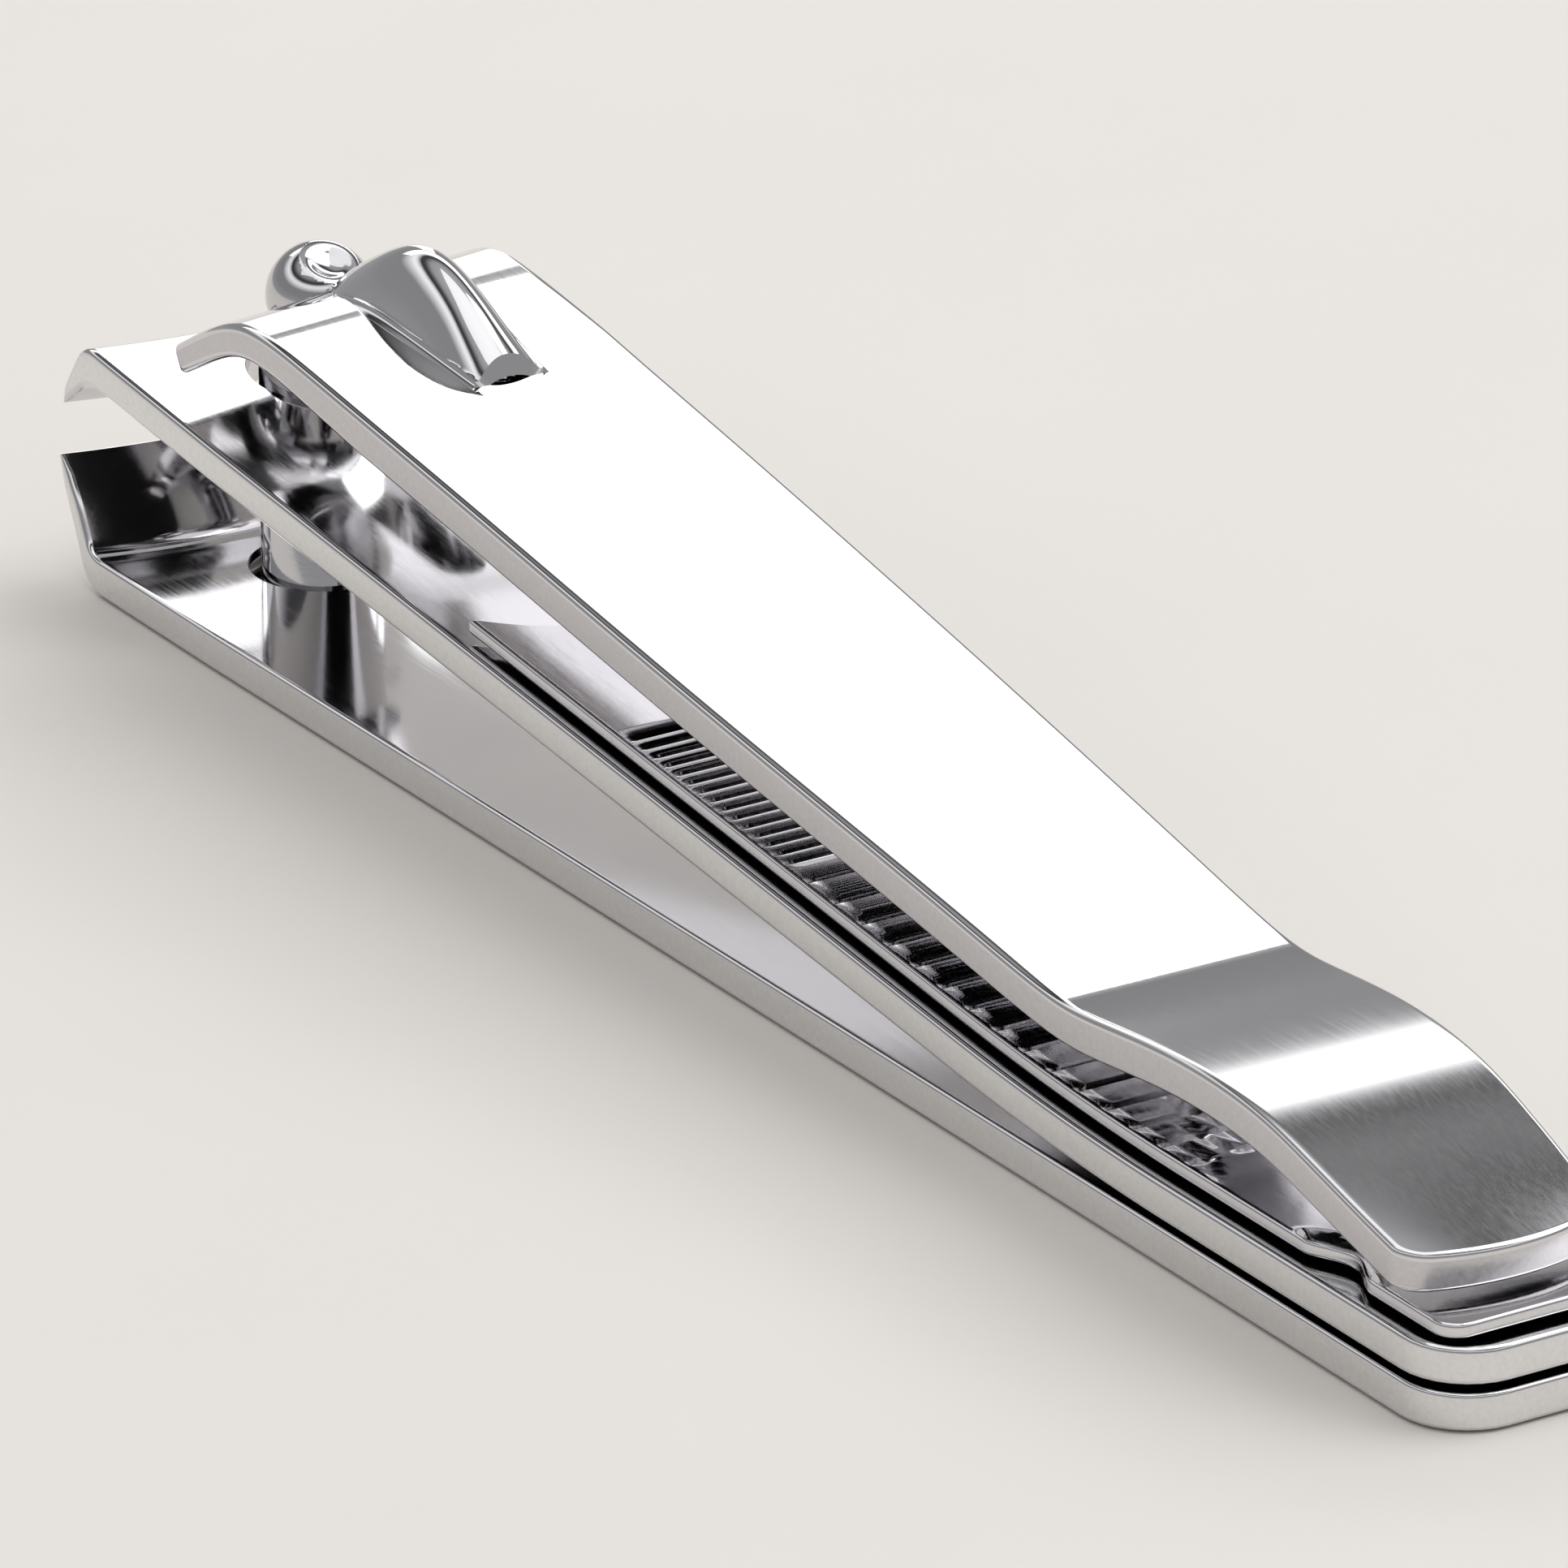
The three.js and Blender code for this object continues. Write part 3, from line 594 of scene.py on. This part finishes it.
# %% Rivets
tie_profile = [(0.02, 0.08), (1.95, 0.08), (2.0, 0.12), (2.0, 0.16), (1.2, 0.85),
               (1.2, 1.93), (2.0, 2.63), (2.0, 2.68), (1.95, 2.7), (0.02, 2.7)]
points, faces = turned_points(TIE_X, tie_profile, 64)
tie_rivet = make_piece("tie_rivet_turned", points, faces, [turned_pin])
shade(tie_rivet, 40)
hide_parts("tie_rivet")
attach(tie_rivet, "root")
FILE_LIFT, FILE_TOP = 0.2, 0.7
seat = UPPER_FLAT + FILE_TOP + 0.12
head = [(2.1 * math.cos(a), seat + 0.1 + 0.32 * math.sin(a)) for a in np.radians(np.linspace(0, 88, 14))]
shank = [(0.02, 0.2), (1.9, 0.2), (1.9, 0.27), (1.2, 0.85), (1.2, seat), (2.05, seat)]
points, faces = turned_points(PIVOT_X, shank + head, 64)
file_rivet = make_piece("file_rivet_turned", points, faces, [turned_pin])
shade(file_rivet, 40)
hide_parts("file_rivet")
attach(file_rivet, "upper")

# %% [markdown]
# ## The nail file
# The file is thin strip that follows the leaf. Its front end is ground to a crescent with two
# points, for cleaning under a nail. A die strikes two rows of cuts across it, fine ones near the
# tip and coarse ones behind, and the tang is left smooth. The cuts are modelled in the grid, as
# narrow V grooves between mirror lands, so each catches its own line of light from any side.

# %% File cuts
FINE = [34.4 + 0.65 * i for i in range(15)]
COARSE = [44.8 + 1.52 * i for i in range(15)]
FINE_WIDTH, COARSE_WIDTH = 0.21, 0.2
FILE_TIP, FILE_REAR = 25.0, 80.2


def file_half(u):
    return leaf_half(u) - 0.5


def file_half_nicked(u):
    """The fingernail nick is scooped out of the edge on the -Y side."""
    along = (u - 74.3) / 1.75
    return file_half(u) - (0.62 * math.cos(along * math.pi / 2) ** 1.5 if abs(along) < 1 else 0.0)


def file_relief(u, y):
    """How far the top face lies below the plain strip: cuts, the line where they end, the nick."""
    depth = 0.0
    margin = min(max((file_half(u) - 0.14 - abs(y)) / 0.2, 0), 1)
    past = (u - 64.7) * 0.4535 + (y + 3.5) * 0.8913
    if past < 0 or y > -3.0:
        for row, width, deep in ((FINE, FINE_WIDTH, 0.1), (COARSE, COARSE_WIDTH, 0.13)):
            for cut_x in row:
                depth += deep * margin * max(0.0, 1 - abs(u - cut_x) / width)
    if y < -2.5:
        depth += 0.09 * margin * max(0.0, 1 - abs(past) / 0.2)
        ring = math.hypot((u - 74.2) / 1.9, (y + 4.9) / 1.0)
        depth += 0.16 * max(0.0, 1 - ring) - 0.13 * max(0.0, 1 - abs(ring - 1.05) / 0.22)
        for bead_x in (72.35, 76.2):
            depth -= 0.16 * max(0.0, 1 - math.hypot(u - bead_x, y + 4.85) / 0.32)
    return depth


def file_bend(u):
    x = min(max(u, FILE_TIP), FILE_REAR)
    if x < BEND_FROM:
        low = spring_top(x)
    elif x > BEND_TO:
        low = UPPER_FLAT
    else:
        low = float(np.interp(x, soft[:, 0], soft[:, 1]))
    return np.array((x, low + FILE_TOP)), np.array((x, low + FILE_LIFT))


steps = []
for row, width in ((FINE, FINE_WIDTH), (COARSE, COARSE_WIDTH)):
    for cut_x in row:
        steps += [cut_x - width, cut_x - width / 2, cut_x, cut_x + width / 2, cut_x + width]
steps += [*np.arange(25.3, 34, 0.7), *np.arange(66.3, 79.3, 0.17)]
steps = sorted(steps)
steps = [u for i, u in enumerate(steps) if i == 0 or u - steps[i - 1] > 0.02]
near_edge = outline(FILE_TIP, FILE_REAR, file_half_nicked, 0.3, 0.9, steps)
far_edge = outline(FILE_TIP, FILE_REAR, file_half, 0.3, 0.9, steps)
points, faces, marks = sheet_grid(file_bend, near_edge, far_edge, 0.14, 40, relief=file_relief)
CRESCENT, HORN = 7.5, 5.6
crescent = []
for x, y, z in points:
    fade = min(max((33 - x) / 8, 0), 1)
    hollow = math.sqrt(max(CRESCENT ** 2 - y * y, 0)) - math.sqrt(CRESCENT ** 2 - HORN ** 2)
    shift = hollow * fade ** 1.5
    crescent.append((x + shift, y, z - SPRING_SLOPE * shift))
nail_file = make_piece("nail_file_sheet", crescent, faces, [file_face, file_edge], marks)
shade(nail_file)
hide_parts("nail_file")
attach(nail_file, "file")

# %% [markdown]
# ## The lever
# The lever is the showpiece: thicker strip, mirror polished, bent in one long sweep with a thumb
# rest at the tail. Its side view is a smooth spline with continuous curvature, since a reflection
# shows every kink of a curve that only touches smoothly. A natural cubic spline is a small linear
# solve in numpy.

# %% Lever side view
FOOT_X = 6.35
LEVER_TOP = np.array([
    (FOOT_X, 9.95), (8.0, 10.95), (9.5, 11.76), (10.9, 12.2), (12.6, 12.28), (15.2, 12.02), (24, 10.98),
    (36, 9.5), (48, 8.02), (55, 7.12), (58.2, 6.72), (60.2, 6.6), (62.6, 6.8), (65.8, 7.14), (68.6, 7.2),
    (71.4, 6.92), (74.2, 6.24), (76.8, 5.6), (79.8, 4.98),
])


def natural_spline(knots):
    """The smooth curve z(x) through the knots, as a function that also gives the slope."""
    x, z = knots[:, 0], knots[:, 1]
    h = np.diff(x)
    n = len(x)
    a, b = np.eye(n), np.zeros(n)
    for i in range(1, n - 1):
        a[i, i - 1:i + 2] = h[i - 1], 2 * (h[i - 1] + h[i]), h[i]
        b[i] = 6 * ((z[i + 1] - z[i]) / h[i] - (z[i] - z[i - 1]) / h[i - 1])
    m = np.linalg.solve(a, b)

    def at(u):
        i = int(np.clip(np.searchsorted(x, u) - 1, 0, n - 2))
        t, s, step, m0, m1 = x[i + 1] - u, u - x[i], h[i], m[i], m[i + 1]
        value = (m0 * t ** 3 + m1 * s ** 3) / (6 * step)
        value += (z[i] / step - m0 * step / 6) * t + (z[i + 1] / step - m1 * step / 6) * s
        slope = (m1 * s ** 2 - m0 * t ** 2) / (2 * step) + (z[i + 1] - z[i]) / step - (m1 - m0) * step / 6
        return value, slope
    return at


lever_line = natural_spline(LEVER_TOP)


def lever_bend(u):
    z, slope = lever_line(u)
    thick = float(np.interp(u, [FOOT_X, 18.2], [1.0, 1.4]))
    size = math.hypot(1, slope)
    top = np.array((u, z))
    return top, top + np.array((slope, -1)) / size * thick


print("crest of the lever:", round(max(lever_line(u)[0] for u in np.arange(8, 20, 0.1)), 2), "mm")

# %% [markdown]
# ## The lever's plate
# In plan the lever tapers to the tail, whose end is a shallow arc. At the foot a slot lets the
# pin's knob through, and two short nibs close it to the width of the pin's groove. The slot runs
# on under the fulcrum arch, because the arch is pressed up out of that metal. The same punch trims
# the skewed side of the foot, which would dig into the upper leaf as the lever tips.

# %% Lever plate
SLOT, UNDER_ARCH = 2.25, 0.85
LEVER_END, ARCH_ASIDE, TAIL_ROUND = 79.2, 0.5, 7.6
FOOT_SKEW, FOOT_HALF = 1.7, 5.55
lever_half = natural_spline(np.array([
    (5.3, 5.56), (12, 5.35), (26, 5.13), (40, 4.9), (58, 4.38), (70, 4.08), (76.6, 3.8), (80, 3.62),
]))
stations = [*np.arange(7.2, 20, 0.3), *np.arange(20, 54, 1.5), *np.arange(54, 78.2, 0.3)]
edge = outline(FOOT_X, LEVER_END, lambda u: lever_half(u)[0], 0.45, 0.9, stations)
points, faces, marks = sheet_grid(lever_bend, edge, edge, 0.24, 24)
shaped = []
for x, y, z in points:
    fade = min(max((x - 74) / (LEVER_END - 74), 0), 1) ** 2
    ahead = min(max((17 - x) / 5, 0), 1)
    skew = FOOT_SKEW * (y + FOOT_HALF) / (2 * FOOT_HALF) * ahead ** 2 * (3 - 2 * ahead)
    rounded = (TAIL_ROUND - math.sqrt(TAIL_ROUND ** 2 - y * y)) * fade
    shaped.append(beside_pin(x - rounded - skew, y, z))
lever = make_piece("lever_sheet", shaped, faces, [buffed_lever, tumbled_lever_edge], marks)


def half_round(x, y, radius, steps):
    angles = np.radians(np.linspace(-90, 90, steps))
    return [(x + radius * math.cos(a), y + radius * math.sin(a)) for a in angles]


def slot_outline():
    nib = [(6.1, -SLOT), (6.1, -1.5), (6.95, -1.5), (7.1, -1.6), (7.12, -2.2)]
    trimmed = [(5.75, SLOT), (7.7, FOOT_HALF), (7.7, 7), (3.2, 7), (3.2, -SLOT)]
    round_end = half_round(7.2, 0, SLOT, 31)
    near_half = [p for p in round_end if p[1] <= ARCH_ASIDE - UNDER_ARCH]
    far_half = [p for p in round_end if p[1] >= ARCH_ASIDE + UNDER_ARCH]
    under_arch = half_round(15.6, ARCH_ASIDE, UNDER_ARCH, 13)
    return nib + near_half + under_arch + far_half + [(x, -y) for x, y in reversed(nib)] + trimmed


ring = slot_outline()
n = len(ring)
prism = [beside_pin(x, y, z) for z in (7.0, 14.0) for x, y in ring]
prism_faces = [list(range(n)), list(range(n, 2 * n))]
prism_faces += [[i, (i + 1) % n, n + (i + 1) % n, n + i] for i in range(n)]
slot_punch = make_piece("slot_punch", prism, prism_faces, [buffed_lever])
cut(lever, [slot_punch, drill(PIN_X, SLOT, SLOT, 10.1, 13, buffed_lever)])
print("lever plate cut")

# %% [markdown]
# ## The fulcrum arch
# When the lever is turned over, this arch presses on the upper leaf. It is pressed up as half a
# tube that narrows to the rear and meets the plate in a small fillet, open at both ends. It could
# be sculpted from the plate, but a swept half ring with its own wall, seated in the plate, keeps the
# long highlight on its crown straight.

# %% Arch
ARCH_WALL = 0.3
RIDGE = 2.1                               # power of the section: 2 is a parabola


def arch_half(u):
    return float(np.interp(u, [8.9, 12, 14, 16, 18.3], [1.8, 1.74, 1.62, 1.45, 1.27]))


ARCH_RISE = np.array([
    (8.9, 1.35), (10.4, 1.6), (12, 2.0), (13.3, 2.15), (14.6, 2.08), (16.2, 1.7), (17.4, 1.22), (18.3, 0.85),
])
arch_rise = natural_spline(ARCH_RISE)
across = np.sin(np.radians(np.linspace(-90, 90, 49)))
foot = [(0.26, -0.03), (0.17, 0.01), (0.09, 0.05), (0.03, 0.12)]
points, faces = [], []
lanes = len(across) + 2 * len(foot)
along = np.linspace(8.9, 18.3, 48)
for u in along:
    rise = arch_rise(u)[0]
    z, slope = lever_line(u)
    half = arch_half(u)
    flank = [(s * half, max(rise * (1 - abs(s) ** RIDGE), 0.2 - (1 - abs(s)) * 0.1)) for s in across]
    outer = [(-half - d, h) for d, h in foot] + flank + [(half + d, h) for d, h in foot[::-1]]
    wall = float(np.interp(u, [16.6, 18.3], [ARCH_WALL, 0.6]))
    hollow = [(s * (half - ARCH_WALL), (rise - wall) * (1 - abs(s) ** RIDGE) - 0.1) for s in across]
    hollow = [(-half - d, -0.5) for d, h in foot] + hollow + [(half + d, -0.5) for d, h in foot[::-1]]
    lean = 0.3 * (1 - 2 * (u - along[0]) / (along[-1] - along[0]))
    points += [beside_pin(u + lean * max(h, 0), ARCH_ASIDE + y, z + h) for y, h in outer + hollow]
for i in range(len(along) - 1):
    for k in range(lanes - 1):
        a, b = 2 * lanes * i + k, 2 * lanes * (i + 1) + k
        faces.append([a, a + 1, b + 1, b])
        faces.append([a + lanes, a + 1 + lanes, b + 1 + lanes, b + lanes])
    for k in (0, lanes - 1):
        a, b = 2 * lanes * i + k, 2 * lanes * (i + 1) + k
        faces.append([a, b, b + lanes, a + lanes])
for base in (0, 2 * lanes * (len(along) - 1)):
    faces += [[base + k, base + k + 1, base + k + 1 + lanes, base + k + lanes] for k in range(lanes - 1)]
arch = make_piece("fulcrum_arch", points, faces, [buffed_lever])
joined = bmesh.new()
joined.from_mesh(lever.data)
joined.from_mesh(arch.data)
joined.to_mesh(lever.data)
joined.free()
bpy.data.objects.remove(arch)
shade(lever, 35)
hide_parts("lever")
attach(lever, "lever")

# %% [markdown]
# ## Floor, light and surroundings
# Polished metal is lit by giving it something to mirror. One broad panel stands behind the clipper
# at 27 to 38 degrees up, which the long arm of the lever mirrors as clean white. Below and above it
# the room stays grey, and that gives the grey patches in the waist and on the tail. A small card
# stands low behind the jaws and whitens the crest; it is kept off matt surfaces, so it leaves no
# pool of light on the floor. Two large panels light that.

# %% Floor
floor_material, tree, shader = new_material("matt_paper_floor")
place = add_node(tree, "ShaderNodeTexCoord")
mottle = add_node(tree, "ShaderNodeTexNoise", [("Vector", place.outputs["Object"])],
                  Scale=60.0, Detail=3.0, Roughness=0.5)
tone = add_node(tree, "ShaderNodeMixRGB", [("Fac", mottle.outputs["Fac"])],
                Color1=linear("#e6e2dc"), Color2=linear("#eae6e0"))
tree.links.new(shader.inputs["Base Color"], tone.outputs["Color"])
shader.inputs["Roughness"].default_value = 0.75
work = bmesh.new()
bmesh.ops.create_grid(work, x_segments=8, y_segments=8, size=2.5)
floor_mesh = bpy.data.meshes.new("floor")
work.to_mesh(floor_mesh)
work.free()
floor_mesh.materials.append(floor_material)
floor = bpy.data.objects.new("floor", floor_mesh)
floor.location.z = -0.00006
bpy.context.scene.collection.objects.link(floor)
floor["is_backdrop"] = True

# %% Lights
def panel(name, aim, azimuth, elevation, distance, width, height, radiance):
    """A flat soft panel that faces `aim`; azimuth is counted from +X, towards +Y."""
    a, e = math.radians(azimuth), math.radians(elevation)
    away = Vector((math.cos(a) * math.cos(e), math.sin(a) * math.cos(e), math.sin(e)))
    data = bpy.data.lights.new(name, "AREA")
    data.shape, data.size, data.size_y = "RECTANGLE", width, height
    data.energy = radiance * math.pi * width * height
    light = bpy.data.objects.new(name, data)
    light.location = Vector(aim) + away * distance
    light.rotation_euler = away.to_track_quat("Z", "Y").to_euler()
    bpy.context.scene.collection.objects.link(light)
    return light


panel("rear_panel", (0, 0, 0), 143, 32.5, 0.9, 1.3, 0.18, 1.7)
jaw_panel = panel("jaw_panel", (-0.034, 0.0, 0.012), 148, 12.5, 0.16, 0.034, 0.073, 1.2)
jaw_panel.visible_diffuse = False
panel("side_panel", (0, 0, 0), 72, 52, 1.0, 0.8, 0.8, 2.0)
panel("top_panel", (0, 0, 0), -60, 84, 1.1, 1.1, 1.1, 0.75)
bpy.context.scene.view_settings.view_transform = "Standard"
world = bpy.data.worlds.new("grey_studio")
bpy.context.scene.world = world
world.use_nodes = True
tree = world.node_tree
tree.nodes.clear()
ray = add_node(tree, "ShaderNodeTexCoord")
parts = add_node(tree, "ShaderNodeSeparateXYZ", [("Vector", ray.outputs["Generated"])])
ramp = add_node(tree, "ShaderNodeValToRGB", [("Fac", parts.outputs["Z"])])
STUDIO = [(0.0, 0.4), (0.2, 0.31), (0.4, 0.3), (0.56, 1.2), (0.6, 1.0), (0.66, 0.05),
          (0.71, 0.08), (0.79, 0.4), (1.0, 0.6)]
while len(ramp.color_ramp.elements) < len(STUDIO):
    ramp.color_ramp.elements.new(0.5)
for element, (position, grey) in zip(ramp.color_ramp.elements, STUDIO):
    element.position, element.color = position, (grey, grey, grey * 1.02, 1)
glow = add_node(tree, "ShaderNodeBackground", [("Color", ramp.outputs["Color"])], Strength=1.0)
sky = tree.nodes.new("ShaderNodeOutputWorld")
tree.links.new(sky.inputs["Surface"], glow.outputs["Background"])

# %% [markdown]
# ## Measure
# The box of the frame and the box of the finished pieces are written side by side, so that a wrong
# thickness or a stray point shows at once.

# %% Sizes and finish
VISUAL_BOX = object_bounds()
for title, (low, high) in (("frame", CAD_BOX), ("pieces", VISUAL_BOX)):
    print(title, "size mm:", [round((high[i] - low[i]) / MM, 2) for i in range(3)])
